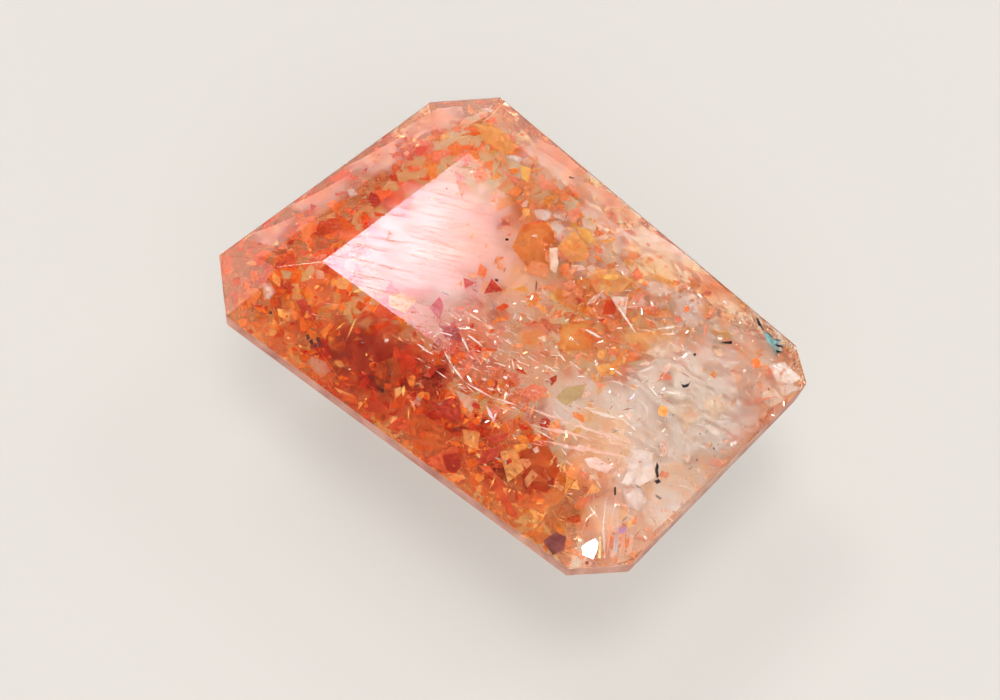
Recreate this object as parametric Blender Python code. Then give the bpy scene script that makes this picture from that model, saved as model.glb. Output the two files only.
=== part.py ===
# A faceted sunstone: one natural crystal, ground and polished as a cut-cornered rectangle.
#
# The stone stands table up on its flat culet. X runs along its length and Z points up.
# The origin is the middle of its footprint, at the level of the culet.
# It is made the way a cutter makes it: a block is ground flat, one facet after another.

import math

import bmesh
import bpy
from mathutils import Vector

# Driving dimensions, in metres and degrees

MM = 0.001

# The eight sides of the outline: name, direction it faces, distance from the stone's axis.
# The stone is cut by eye, so its ends aren't quite parallel and its corners aren't quite alike.
SIDES = (
    ("front", 273.2, 3.95 * MM),
    ("front_left", 231.3, 6.08 * MM),
    ("left", 177.0, 5.55 * MM),
    ("back_left", 140.0, 6.06 * MM),
    ("back", 86.8, 3.95 * MM),
    ("back_right", 53.7, 5.73 * MM),
    ("right", 2.2, 5.55 * MM),
    ("front_right", 318.1, 6.06 * MM),
)
CORNERS = ("front_left", "back_left", "back_right", "front_right")
LONG_SIDES = ("front", "back")

CROWN_HEIGHT = 0.74 * MM
GIRDLE_THICKNESS = 0.26 * MM
FRONT_GIRDLE_THICKNESS = 0.30 * MM
PAVILION_DEPTH = 3.90 * MM

# The crown: a lower row of facets at the girdle, an upper row at the table, and four corners.
LOWER_CROWN_SLOPE = 25.0
UPPER_CROWN_SLOPE = 16.2
CORNER_CROWN_SLOPE = 26.0
TABLE_MARGIN = 2.00 * MM

# The pavilion: steep facets under the girdle, turned pairs below them, and mains at the culet.
BREAK_SLOPE = 60.0
SIDE_PAIR = {"turn": 8.0, "slope": 46.0, "inset": 1.00 * MM}
CORNER_PAIR = {"turn": 14.0, "slope": 50.0, "inset": 0.50 * MM}
MAIN_SLOPE = 40.0
CORNER_MAIN_SLOPE = 38.0
CULET_HALF_WIDTH = 0.65 * MM
CULET_HALF_LENGTH = 2.30 * MM
CULET_CORNER_REACH = 2.05 * MM

# Corners that the facets leave closer together than this are one corner.
MEETING_POINT = 0.004 * MM

# Polished feldspar
STONE_COLOUR = (0.80, 0.33, 0.14, 1.0)
STONE_ROUGHNESS = 0.05
STONE_METALLIC = 0.0
STONE_IOR = 1.54


def outline_centre():
    """Middle of the box around the outline, where two neighbouring sides meet at each corner."""
    corners = []
    for number, (_, azimuth, distance) in enumerate(SIDES):
        _, next_azimuth, next_distance = SIDES[(number + 1) % len(SIDES)]
        a, b = math.radians(azimuth), math.radians(next_azimuth)
        turn = math.sin(b - a)
        x = (distance * math.sin(b) - next_distance * math.sin(a)) / turn
        y = (next_distance * math.cos(a) - distance * math.cos(b)) / turn
        corners.append((x, y))
    xs = [x for x, _ in corners]
    ys = [y for _, y in corners]
    return Vector(((min(xs) + max(xs)) / 2, (min(ys) + max(ys)) / 2, 0.0))


def grind(stone, azimuth, slope, distance, height, centre):
    """Grind one flat facet and close the face it leaves.

    The facet faces azimuth, leans slope degrees away from level, and goes through the point
    that lies at distance from the axis and at height. A slope over 90 faces down.
    """
    turn, lean = math.radians(azimuth), math.radians(slope)
    outward = Vector((math.cos(turn), math.sin(turn), 0.0))
    normal = outward * math.sin(lean) + Vector((0.0, 0.0, math.cos(lean)))
    point = outward * distance + Vector((0.0, 0.0, height)) - centre
    cut = bmesh.ops.bisect_plane(
        stone,
        geom=stone.verts[:] + stone.edges[:] + stone.faces[:],
        dist=1e-9,
        plane_co=point,
        plane_no=normal,
        clear_outer=True,
    )
    rim = [part for part in cut["geom_cut"] if isinstance(part, bmesh.types.BMEdge)]
    if rim:
        bmesh.ops.edgeloop_fill(stone, edges=rim)


def rough_block(size):
    """A block of crystal, larger than the finished stone."""
    stone = bmesh.new()
    bmesh.ops.create_cube(stone, size=size)
    return stone


def grind_girdle(stone, centre):
    """The upright band around the stone."""
    for _, azimuth, distance in SIDES:
        grind(stone, azimuth, 90.0, distance, 0.0, centre)


def grind_crown(stone, girdle_top, table_height, centre):
    """The table, the two rows of side facets around it and the four corner facets."""
    grind(stone, 0.0, 0.0, 0.0, table_height, centre)
    for name, azimuth, distance in SIDES:
        if name in CORNERS:
            grind(stone, azimuth, CORNER_CROWN_SLOPE, distance, girdle_top, centre)
            continue
        grind(stone, azimuth, LOWER_CROWN_SLOPE, distance, girdle_top, centre)
        grind(stone, azimuth, UPPER_CROWN_SLOPE, distance - TABLE_MARGIN, table_height, centre)


def grind_pavilion(stone, girdle_top, centre):
    """The facets under the girdle, down to the flat culet that the stone stands on."""
    grind(stone, 0.0, 180.0, 0.0, 0.0, centre)
    for name, azimuth, distance in SIDES:
        thickness = FRONT_GIRDLE_THICKNESS if name == "front" else GIRDLE_THICKNESS
        girdle_foot = girdle_top - thickness
        grind(stone, azimuth, 180.0 - BREAK_SLOPE, distance, girdle_foot, centre)
        pair = CORNER_PAIR if name in CORNERS else SIDE_PAIR
        pair_height = girdle_foot - pair["inset"] * math.tan(math.radians(BREAK_SLOPE))
        for turn in (-pair["turn"], pair["turn"]):
            pair_reach = distance - pair["inset"]
            grind(stone, azimuth + turn, 180.0 - pair["slope"], pair_reach, pair_height, centre)
        if name in CORNERS:
            grind(stone, azimuth, 180.0 - CORNER_MAIN_SLOPE, CULET_CORNER_REACH, 0.0, centre)
            continue
        reach = CULET_HALF_WIDTH if name in LONG_SIDES else CULET_HALF_LENGTH
        grind(stone, azimuth, 180.0 - MAIN_SLOPE, reach, 0.0, centre)


def stone_material():
    """Polished orange feldspar."""
    material = bpy.data.materials.new("sunstone_polish")
    material.use_nodes = True
    shader = material.node_tree.nodes["Principled BSDF"]
    shader.inputs["Base Color"].default_value = STONE_COLOUR
    shader.inputs["Roughness"].default_value = STONE_ROUGHNESS
    shader.inputs["Metallic"].default_value = STONE_METALLIC
    shader.inputs["IOR"].default_value = STONE_IOR
    return material


def make_sunstone(collection):
    """The whole stone as one closed solid."""
    centre = outline_centre()
    girdle_top = PAVILION_DEPTH
    table_height = girdle_top + CROWN_HEIGHT
    block_size = 4 * max(distance for _, _, distance in SIDES)

    stone = rough_block(block_size)
    grind_girdle(stone, centre)
    grind_crown(stone, girdle_top, table_height, centre)
    grind_pavilion(stone, girdle_top, centre)
    bmesh.ops.remove_doubles(stone, verts=stone.verts, dist=MEETING_POINT)
    bmesh.ops.recalc_face_normals(stone, faces=stone.faces)

    mesh = bpy.data.meshes.new("sunstone")
    stone.to_mesh(mesh)
    stone.free()
    mesh.materials.append(stone_material())
    collection.objects.link(bpy.data.objects.new("sunstone", mesh))


for old in list(bpy.data.objects):
    bpy.data.objects.remove(old, do_unlink=True)

sunstone = bpy.data.collections.new("Sunstone")
bpy.context.scene.collection.children.link(sunstone)
make_sunstone(sunstone)
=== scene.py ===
import math
import random

import bmesh
import bpy
from mathutils import Matrix, Vector, noise
from mathutils.bvhtree import BVHTree


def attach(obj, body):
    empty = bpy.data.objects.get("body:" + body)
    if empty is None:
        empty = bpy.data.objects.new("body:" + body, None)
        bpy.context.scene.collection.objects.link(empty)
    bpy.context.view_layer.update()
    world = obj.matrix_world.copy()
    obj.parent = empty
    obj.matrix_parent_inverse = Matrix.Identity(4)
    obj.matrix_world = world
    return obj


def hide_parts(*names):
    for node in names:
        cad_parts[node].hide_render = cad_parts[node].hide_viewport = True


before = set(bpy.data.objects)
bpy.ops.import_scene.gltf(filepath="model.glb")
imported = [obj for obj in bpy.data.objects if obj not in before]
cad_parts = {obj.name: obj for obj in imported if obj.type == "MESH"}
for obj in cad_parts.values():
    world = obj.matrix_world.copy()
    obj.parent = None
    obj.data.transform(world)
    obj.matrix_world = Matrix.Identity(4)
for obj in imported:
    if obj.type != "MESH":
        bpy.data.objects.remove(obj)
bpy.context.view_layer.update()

MM = 0.001
random.seed(7)
noise.seed_set(7)


# The camera looks down on the stone from its front right, as the photograph was taken: a long
# lens, close by, turned a little about its own axis.
PHOTO_WIDTH = 1000
PHOTO_HEIGHT = 700
SENSOR = 36.0
LENS = 105.3
LOOKED_AT = Vector((0.28, -0.775, 3.90)) * MM
CAMERA_AZIMUTH = math.radians(-50.19)
CAMERA_ELEVATION = math.radians(56.2)
CAMERA_DISTANCE = 61.6 * MM
CAMERA_ROLL = math.radians(3.82)


def heading(azimuth, elevation):
    """The unit vector that points at an azimuth and an elevation in radians."""
    return Vector((
        math.cos(elevation) * math.cos(azimuth),
        math.cos(elevation) * math.sin(azimuth),
        math.sin(elevation),
    ))


towards_camera = heading(CAMERA_AZIMUTH, CAMERA_ELEVATION)
eye = LOOKED_AT + towards_camera * CAMERA_DISTANCE
level_right = (-towards_camera).cross(Vector((0, 0, 1))).normalized()
roll = Matrix.Rotation(CAMERA_ROLL, 3, towards_camera)
camera_right = roll @ level_right
camera_up = roll @ level_right.cross(-towards_camera)

lens = bpy.data.cameras.new("camera")
lens.sensor_width = SENSOR
lens.lens = LENS
lens.clip_start = 1 * MM
camera = bpy.data.objects.new("camera", lens)
bpy.context.scene.collection.objects.link(camera)
camera.matrix_world = Matrix.Translation(eye) @ Matrix(
    (camera_right, camera_up, towards_camera)).transposed().to_4x4()
bpy.context.scene.camera = camera
bpy.context.scene.view_settings.view_transform = "Standard"
light_paths = bpy.context.scene.cycles
light_paths.max_bounces = 24
light_paths.diffuse_bounces = 4
light_paths.glossy_bounces = 16
light_paths.transmission_bounces = 24


# The stone itself: clear feldspar, cut in steps with its corners off, and polished, with a thin
# girdle that is only ground. It is one crystal, so it is one body, and the polish has just
# blunted its edges.
EDGE_WEAR = 0.012 * MM
REFRACTION = 1.54
SAME_POINT = 0.001 * MM
SAME_FACET = math.radians(0.5)
GIRDLE_LEAN = 0.1

cut = bmesh.new()
cut.from_mesh(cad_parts["sunstone"].data)
bmesh.ops.remove_doubles(cut, verts=cut.verts, dist=SAME_POINT)
bmesh.ops.dissolve_limit(cut, angle_limit=SAME_FACET, verts=cut.verts, edges=cut.edges)
cut.normal_update()
surface = BVHTree.FromBMesh(cut)
facets = [(f.normal.copy(), f.calc_center_median()) for f in cut.faces]
girdle_foot = min(v.co.z for f in cut.faces if abs(f.normal.z) < GIRDLE_LEAN for v in f.verts)

JUST_INSIDE = 0.01 * MM


def sight_line(pixel):
    """Where the line of sight of a photo pixel enters the stone, and its bent way inside."""
    px, py = pixel
    reach = LENS / SENSOR * PHOTO_WIDTH
    ray = (camera_right * (px - PHOTO_WIDTH / 2) - camera_up * (py - PHOTO_HEIGHT / 2)
           - towards_camera * reach).normalized()
    hit, normal, _, _ = surface.ray_cast(eye, ray)
    if hit is None:
        return None
    slant = -normal.dot(ray)
    bent = ray / REFRACTION + normal * (
        slant / REFRACTION - math.sqrt(1 - (1 - slant * slant) / REFRACTION ** 2))
    bent.normalize()
    return hit + bent * JUST_INSIDE, bent


def place_on(mat):
    """The piece's own coordinates, for the patterns of its finish."""
    return mat.node_tree.nodes.new("ShaderNodeTexCoord").outputs["Object"]


def stretched(mat, angle, sizes):
    """The same coordinates, turned about the upright and measured in these sizes."""
    measure = mat.node_tree.nodes.new("ShaderNodeMapping")
    measure.vector_type = "TEXTURE"
    measure.inputs["Rotation"].default_value = (0, 0, angle)
    measure.inputs["Scale"].default_value = sizes
    mat.node_tree.links.new(place_on(mat), measure.inputs["Vector"])
    return measure.outputs["Vector"]


def mottle(mat, place, scale, detail):
    """A soft uneven pattern."""
    pattern = mat.node_tree.nodes.new("ShaderNodeTexNoise")
    pattern.inputs["Scale"].default_value = scale
    pattern.inputs["Detail"].default_value = detail
    mat.node_tree.links.new(place, pattern.inputs["Vector"])
    return pattern.outputs["Fac"]


def graded(mat, value, low, high, least=0.0, most=1.0):
    """A value that runs from least to most while the given one runs from low to high."""
    grade = mat.node_tree.nodes.new("ShaderNodeMapRange")
    grade.inputs["From Min"].default_value = low
    grade.inputs["From Max"].default_value = high
    grade.inputs["To Min"].default_value = least
    grade.inputs["To Max"].default_value = most
    mat.node_tree.links.new(value, grade.inputs["Value"])
    return grade.outputs["Result"]


def two_tone(mat, share, first, second):
    """One colour turning into a second, which is a colour or another such mix."""
    mix = mat.node_tree.nodes.new("ShaderNodeMix")
    mix.data_type = "RGBA"
    mix.inputs["A"].default_value = (*first, 1)
    mat.node_tree.links.new(share, mix.inputs["Factor"])
    if isinstance(second, tuple):
        mix.inputs["B"].default_value = (*second, 1)
    else:
        mat.node_tree.links.new(second, mix.inputs["B"])
    return mix.outputs["Result"]


def sink(mat, pattern, depth):
    """Sinks the surface by a depth where a pattern is high."""
    relief = mat.node_tree.nodes.new("ShaderNodeBump")
    relief.inputs["Strength"].default_value = 1.0
    relief.inputs["Distance"].default_value = depth
    relief.invert = True
    mat.node_tree.links.new(pattern, relief.inputs["Height"])
    shader = mat.node_tree.nodes["Principled BSDF"]
    mat.node_tree.links.new(relief.outputs["Normal"], shader.inputs["Normal"])


def feldspar(name, glossiest, dullest):
    """Clear peach feldspar, its gloss uneven between two roughnesses. Gives the wear as well."""
    mat = bpy.data.materials.new(name)
    mat.use_nodes = True
    nodes = mat.node_tree.nodes
    crystal = nodes["Principled BSDF"]
    crystal.inputs["Base Color"].default_value = (1.0, 0.99, 0.98, 1)
    crystal.inputs["Transmission Weight"].default_value = 1.0
    crystal.inputs["IOR"].default_value = REFRACTION
    body = nodes.new("ShaderNodeVolumeAbsorption")
    body.inputs["Color"].default_value = (0.99, 0.84, 0.69, 1)
    body.inputs["Density"].default_value = 85.0
    mat.node_tree.links.new(body.outputs["Volume"], nodes["Material Output"].inputs["Volume"])
    wear = mottle(mat, place_on(mat), scale=900.0, detail=4.0)
    gloss = graded(mat, wear, 0.0, 1.0, glossiest, dullest)
    mat.node_tree.links.new(gloss, crystal.inputs["Roughness"])
    return mat, wear


# Hair scratches, left by the polish, run across the table along this line of the photo.
SCRATCH_FROM = (350, 240)
SCRATCH_TO = (450, 262)
worn = sight_line(SCRATCH_TO)[0] - sight_line(SCRATCH_FROM)[0]
scratch_angle = math.atan2(worn.y, worn.x)
SCRATCH_LENGTH = 1.0 * MM
SCRATCH_SPACING = 0.022 * MM
SCRATCH_DEPTH = 0.0006 * MM


def polished_feldspar():
    """The facets: see-through and glossy, with hair scratches."""
    mat, _ = feldspar("polished feldspar", 0.0, 0.03)
    along = stretched(mat, scratch_angle, (SCRATCH_LENGTH, SCRATCH_SPACING, SCRATCH_LENGTH))
    hairs = mottle(mat, along, scale=1.0, detail=1.0)
    sink(mat, graded(mat, hairs, 0.60, 0.74), SCRATCH_DEPTH)
    return mat


FROST_DEEP = (0.45, 0.20, 0.15)
FROST_PALE = (0.76, 0.50, 0.42)
# Painted refraction: a dark red band at the foot of the girdle, standing in for the red inside seen
# through it.
PAINTED_FOOT_RED = (0.58, 0.20, 0.14)
PAINTED_FOOT_BAND = 0.05 * MM
FROST_DEPTH = 0.02 * MM


def ground_feldspar():
    """The girdle: the same feldspar, ground but not polished, so it looks frosted, with a painted
    dark red band at its foot that stands in for the red inside seen through it.
    """
    mat, wear = feldspar("ground feldspar", 0.35, 0.65)
    rub = mottle(mat, place_on(mat), scale=2400.0, detail=5.0)
    frost = two_tone(mat, graded(mat, rub, 0.35, 0.65), FROST_DEEP, FROST_PALE)
    height = mat.node_tree.nodes.new("ShaderNodeSeparateXYZ")
    mat.node_tree.links.new(place_on(mat), height.inputs["Vector"])
    # The painted dark red band at the girdle's foot.
    above_foot = graded(mat, height.outputs["Z"], girdle_foot, girdle_foot + PAINTED_FOOT_BAND)
    frosted = mat.node_tree.nodes["Principled BSDF"]
    mat.node_tree.links.new(
        two_tone(mat, above_foot, PAINTED_FOOT_RED, frost), frosted.inputs["Base Color"])
    frosted.inputs["Transmission Weight"].default_value = 0.7
    sink(mat, wear, FROST_DEPTH)
    return mat


def stand_in_stone(name, mesh):
    """An object that rides with the stone, on the same body."""
    piece = bpy.data.objects.new(name, mesh)
    bpy.context.scene.collection.objects.link(piece)
    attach(piece, "root")
    return piece


for face in cut.faces:
    face.material_index = 1 if abs(face.normal.z) < GIRDLE_LEAN else 0
bmesh.ops.bevel(
    cut, geom=cut.edges, offset=EDGE_WEAR, offset_type="OFFSET", segments=2, profile=0.5,
    affect="EDGES", clamp_overlap=True, material=-1)
stone_mesh = bpy.data.meshes.new("faceted_stone")
cut.to_mesh(stone_mesh)
cut.free()
stone_mesh.materials.append(polished_feldspar())
stone_mesh.materials.append(ground_feldspar())
stone = stand_in_stone("faceted_stone", stone_mesh)
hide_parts("sunstone")


# Clear platelets: thin plates of iron oxide that grew inside the crystal, mostly along its flat
# cleavage. Light passes them and takes their colour, and where they overlap it turns red.
PLATE_THICKNESS = 0.012 * MM
PLATE_SKEW = 0.3
PLATE_CORE = 0.5
PLATE_REACH = 1.3
CLEARANCE = 0.05 * MM
SKIN = 0.02 * MM
LARGEST_PLATE = 0.55 * MM
SMALLEST_PLATE = 0.02 * MM
CLEAVAGE = Vector((0.2, -0.25, 1.0)).normalized()
OFF_CLEAVAGE = 0.4


def under_pixel(pixel, share):
    """The place seen at a photo pixel, that share of the way down through the stone."""
    line = sight_line(pixel)
    if line is None:
        return None
    start, bent = line
    far_side = surface.ray_cast(start, bent)
    if far_side[0] is None:
        return None
    return start + bent * share * far_side[3]


def room_at(place):
    """The distance from a place to the nearest facet, negative outside the stone."""
    return min((middle - place).dot(normal) for normal, middle in facets)


def crystal_outlines(count, least, most):
    """Plates of unit size and unit thickness, with a few straight uneven sides."""
    shapes = []
    for _ in range(count):
        plate = bmesh.new()
        corners = random.randint(least, most)
        bmesh.ops.create_circle(plate, cap_ends=True, segments=corners, radius=1.0)
        for vert in plate.verts:
            vert.co = Matrix.Rotation(random.uniform(-PLATE_SKEW, PLATE_SKEW), 3, "Z") @ vert.co
            vert.co *= random.uniform(PLATE_CORE, PLATE_REACH)
        top = bmesh.ops.extrude_face_region(plate, geom=plate.faces[:])
        raised = [v for v in top["geom"] if isinstance(v, bmesh.types.BMVert)]
        bmesh.ops.translate(plate, vec=(0, 0, 1), verts=raised)
        bmesh.ops.recalc_face_normals(plate, faces=plate.faces)
        plate.verts.index_update()
        verts = [v.co.copy() for v in plate.verts]
        faces = [[v.index for v in f.verts] for f in plate.faces]
        plate.free()
        shapes.append((verts, faces))
    return shapes


def lay_plate(place, size, widths, freedom):
    """The matrix of one plate: mostly along the cleavage, some at any angle."""
    facing = (CLEAVAGE + OFF_CLEAVAGE * Vector(noise.random_unit_vector())).normalized()
    if random.random() < freedom:
        facing = noise.random_unit_vector()
    turn = facing.to_track_quat("Z", "Y").to_matrix().to_4x4()
    spin = Matrix.Rotation(random.uniform(0, math.tau), 4, "Z")
    scale = Matrix.Diagonal((size, size * random.uniform(*widths), PLATE_THICKNESS, 1))
    return Matrix.Translation(place) @ turn @ spin @ scale


# The middle of the table has hardly any plates: a round patch of the photo with a loose rim.
QUIET_MIDDLE = Vector((428, 235))
QUIET_REACH = 90
QUIET_CORE = 0.25


def strew(patch, shapes, tints, depths, usual_size, mix=0.5, freedom=0.25, widths=(0.4, 1.0)):
    """Plates under one patch of the photo, between two depths in the stone."""
    (px, py), spread, count = patch
    plates = []
    for _ in range(count):
        pixel = (random.gauss(px, spread), random.gauss(py, spread))
        place = under_pixel(pixel, random.uniform(*depths))
        if place is None:
            continue
        off_middle = (Vector(pixel) - QUIET_MIDDLE).length
        if off_middle < QUIET_REACH * random.uniform(QUIET_CORE, 1.0):
            continue
        room = room_at(place)
        size = random.lognormvariate(math.log(usual_size), mix) * MM
        size = min(size, LARGEST_PLATE, room - CLEARANCE)
        if size < SMALLEST_PLATE:
            continue
        size = min(size, (room - SKIN) / PLATE_REACH)
        shape = random.choice(shapes)
        plates.append((shape, lay_plate(place, size, widths, freedom), random.choice(tints)))
    return plates


def join_plates(name, plates, mat):
    """One piece made of many plates, each in its place and with its own tint."""
    points = []
    sides = []
    tints = []
    for (verts, faces), matrix, tint in plates:
        first = len(points)
        points.extend(matrix @ v for v in verts)
        sides.extend([first + i for i in face] for face in faces)
        tints.extend([*tint, 1.0] * len(verts))
    mesh = bpy.data.meshes.new(name)
    mesh.from_pydata(points, [], sides)
    layer = mesh.color_attributes.new("tint", "FLOAT_COLOR", "POINT")
    layer.data.foreach_set("color", tints)
    mesh.materials.append(mat)
    return stand_in_stone(name, mesh)


def plate_finish(name, deepest, grain=6000.0):
    """A solid plate of its own tint, with deeper mottling."""
    mat = bpy.data.materials.new(name)
    mat.use_nodes = True
    nodes = mat.node_tree.nodes
    links = mat.node_tree.links
    plate = nodes["Principled BSDF"]
    tint = nodes.new("ShaderNodeAttribute")
    tint.attribute_name = "tint"
    spots = graded(mat, mottle(mat, place_on(mat), grain, detail=3.0), 0.35, 0.65)
    colour = nodes.new("ShaderNodeVectorMath")
    colour.operation = "MULTIPLY"
    links.new(tint.outputs["Color"], colour.inputs[0])
    links.new(two_tone(mat, spots, deepest, (1.0, 1.0, 1.0)), colour.inputs[1])
    links.new(colour.outputs["Vector"], plate.inputs["Base Color"])
    plate.inputs["Roughness"].default_value = 0.35
    plate.inputs["IOR"].default_value = 1.0
    return mat


def clear_plate_finish(name="clear iron oxide", deepest=(1.0, 0.97, 0.94), grain=6000.0):
    """A clear plate: light goes straight through and is tinted."""
    mat = plate_finish(name, deepest, grain)
    plate = mat.node_tree.nodes["Principled BSDF"]
    plate.inputs["Transmission Weight"].default_value = 1.0
    plate.inputs["Roughness"].default_value = 0.0
    return mat


# What one clear plate lets through.
CLEAR_TINTS = {
    "orange": [(1.0, 0.74, 0.38), (1.0, 0.62, 0.26), (1.0, 0.84, 0.50), (0.96, 0.50, 0.20)],
    "amber": [(1.0, 0.84, 0.50), (1.0, 0.76, 0.42)],
    "apricot": [(1.0, 0.86, 0.66), (1.0, 0.80, 0.54), (1.0, 0.90, 0.72)],
    "red": [(0.94, 0.38, 0.18), (0.88, 0.30, 0.18)],
    "brown": [(0.84, 0.54, 0.34), (0.78, 0.54, 0.36)],
    "tan": [(0.96, 0.86, 0.64), (0.93, 0.82, 0.60)],
    "gold": [(1.0, 0.90, 0.46), (1.0, 0.86, 0.36)],
    "coral": [(1.0, 0.76, 0.64), (1.0, 0.68, 0.54)],
    "pale": [(1.0, 0.97, 0.94), (0.99, 0.97, 0.96), (1.0, 0.99, 0.97)],
}
# Each patch of plates: its middle and spread in the photo, in pixels, how many clear plates it
# has, how many half-clear ones, and what colours. It has as many solid plates as clear ones.
PATCHES = [
    ((372, 366), 24, 10, 26, ("brown", "red")),
    ((265, 300), 34, 50, 60, ("orange", "gold", "orange", "amber")),
    ((290, 345), 20, 20, 60, ("orange", "red", "orange")),
    ((410, 140), 14, 20, 30, ("coral", "apricot")),
    ((330, 320), 36, 60, 90, ("orange", "red", "orange", "gold")),
    ((375, 375), 30, 30, 25, ("brown", "red", "brown")),
    ((345, 400), 26, 40, 60, ("orange", "gold", "orange")),
    ((430, 440), 36, 60, 110, ("orange", "red", "orange", "brown")),
    ((432, 388), 14, 24, 50, ("red", "brown", "orange", "coral")),
    ((405, 150), 8, 14, 24, ("orange", "coral")),
    ((500, 445), 30, 50, 90, ("orange", "red", "orange")),
    ((520, 500), 36, 60, 110, ("amber", "brown", "tan", "gold", "gold")),
    ((280, 240), 32, 40, 70, ("orange", "red", "coral", "orange")),
    ((360, 200), 40, 60, 130, ("orange", "red", "orange", "orange")),
    ((460, 125), 36, 50, 80, ("orange", "amber", "coral", "gold")),
    ((490, 240), 45, 30, 60, ("coral", "apricot", "amber")),
    ((545, 225), 26, 40, 80, ("apricot", "apricot", "gold", "pale")),
    ((590, 270), 36, 50, 150, ("gold", "apricot", "apricot", "amber", "pale")),
    ((480, 350), 50, 50, 90, ("coral", "orange", "red", "apricot")),
    ((620, 320), 40, 50, 110, ("apricot", "apricot", "gold", "coral", "pale")),
    ((570, 370), 45, 30, 40, ("coral", "pale", "apricot")),
    ((700, 330), 45, 50, 40, ("pale", "coral", "apricot", "gold")),
    ((690, 430), 45, 50, 40, ("pale", "pale", "pale", "pale", "coral")),
    ((530, 165), 32, 40, 80, ("gold", "apricot", "apricot", "pale")),
    ((600, 190), 36, 40, 80, ("coral", "apricot", "amber")),
    ((670, 250), 36, 40, 60, ("apricot", "coral", "amber")),
    ((760, 380), 26, 30, 50, ("coral", "tan", "apricot", "pale")),
    ((750, 430), 30, 30, 60, ("coral", "tan", "tan", "apricot")),
    ((620, 540), 26, 30, 40, ("coral", "apricot", "pale")),
]
angular = crystal_outlines(30, 3, 5)
clear_plates = []
for middle, spread, count, _, colours in PATCHES:
    tints = [tint for colour in colours for tint in CLEAR_TINTS[colour]]
    clear_plates += strew(
        (middle, spread, count), angular, tints, depths=(0.02, 0.4), usual_size=0.12, mix=0.6)
join_plates("clear_platelets", clear_plates, clear_plate_finish())


# Stain: iron oxide too fine to show as plates, which colours the crystal in soft zones. It
# lies in one growth plane at the height of the girdle, and light is tinted as it passes.
STAIN_CELLS = 60
STAIN_HALF = 7 * MM
STAIN_BEND = 0.15 * MM
WAVE = 1.5 * MM
UP = Vector((0, 0, 1))
girdle_heights = [middle.z for normal, middle in facets if abs(normal.z) < GIRDLE_LEAN]
girdle_height = sum(girdle_heights) / len(girdle_heights)


def growth_sheet(middle, facing, half, cells, bend):
    """A thin wavy sheet through a place, trimmed to the inside of the stone."""
    shape = bmesh.new()
    bmesh.ops.create_grid(shape, x_segments=cells, y_segments=cells, size=half)
    for vert in shape.verts:
        vert.co.z += bend * noise.noise(vert.co / WAVE + middle / MM)
    turn = facing.to_track_quat("Z", "Y").to_matrix().to_4x4()
    bmesh.ops.transform(shape, matrix=Matrix.Translation(middle) @ turn, verts=shape.verts)
    for normal, place in facets:
        bmesh.ops.bisect_plane(
            shape, geom=shape.verts[:] + shape.edges[:] + shape.faces[:],
            plane_co=place - normal * CLEARANCE, plane_no=normal, clear_outer=True)
    return shape


def thicken(shape, facing):
    """Gives a sheet the thickness of a plate."""
    grown = bmesh.ops.extrude_face_region(shape, geom=shape.faces[:])
    raised = [v for v in grown["geom"] if isinstance(v, bmesh.types.BMVert)]
    bmesh.ops.translate(shape, vec=facing * PLATE_THICKNESS, verts=raised)
    bmesh.ops.recalc_face_normals(shape, faces=shape.faces)


# Each zone: the middle in the photo, its reach in millimetres, and what it lets through.
STAINS = [
    ((250, 300), 0.5, (0.93, 0.75, 0.52)),
    ((300, 310), 0.6, (0.98, 0.72, 0.34)),
    ((375, 375), 0.6, (0.92, 0.42, 0.18)),
    ((440, 440), 0.6, (0.96, 0.58, 0.26)),
    ((540, 500), 0.6, (0.90, 0.60, 0.30)),
    ((290, 240), 0.6, (1.00, 0.62, 0.36)),
    ((370, 190), 0.6, (1.00, 0.56, 0.26)),
    ((460, 120), 0.6, (1.00, 0.70, 0.44)),
    ((400, 260), 0.7, (1.00, 0.60, 0.42)),
    ((500, 230), 0.6, (1.00, 0.80, 0.56)),
    ((500, 330), 0.6, (1.00, 0.76, 0.60)),
    ((590, 270), 0.6, (1.00, 0.92, 0.62)),
    ((580, 180), 0.6, (1.00, 0.92, 0.68)),
    ((660, 250), 0.6, (1.00, 0.88, 0.70)),
    ((620, 350), 0.5, (1.00, 0.94, 0.76)),
    ((540, 190), 0.4, (1.00, 0.96, 0.78)),
    ((570, 410), 0.5, (1.00, 0.96, 0.88)),
    ((700, 400), 0.8, (1.00, 1.00, 0.97)),
    ((640, 480), 0.6, (1.00, 1.00, 0.99)),
    ((770, 370), 0.5, (0.94, 0.88, 0.78)),
    ((770, 415), 0.3, (1.00, 0.86, 0.76)),
    ((620, 550), 0.5, (1.00, 0.92, 0.84)),
]
# What each zone counts for even far away.
FAR_SHARE = 1e-6


def stain_finish():
    """Clear, tinted by the zones, with soft warm mottling."""
    mat = clear_plate_finish("stained crystal", (1.0, 0.80, 0.62), 2200.0)
    mat.node_tree.nodes["Principled BSDF"].inputs["Transmission Weight"].default_value = 0.88
    return mat


zones = []
for pixel, reach, tint in STAINS:
    start, bent = sight_line(pixel)
    zones.append((start + bent * (girdle_height - start.z) / bent.z, reach * MM, Vector(tint)))
stain = growth_sheet(Vector((0, 0, girdle_height)), UP, STAIN_HALF, STAIN_CELLS, STAIN_BEND)
tint_layer = stain.verts.layers.float_color.new("tint")
for vert in stain.verts:
    blend = Vector((0, 0, 0))
    whole = 0
    for middle, reach, tint in zones:
        share = math.exp(-((vert.co - middle).length / reach) ** 2 / 2) + FAR_SHARE
        blend += tint * share
        whole += share
    vert[tint_layer] = (*(blend / whole), 1.0)
thicken(stain, UP)
stain_mesh = bpy.data.meshes.new("stain")
stain.to_mesh(stain_mesh)
stain.free()
stain_mesh.materials.append(stain_finish())
stand_in_stone("stain", stain_mesh)


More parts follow.
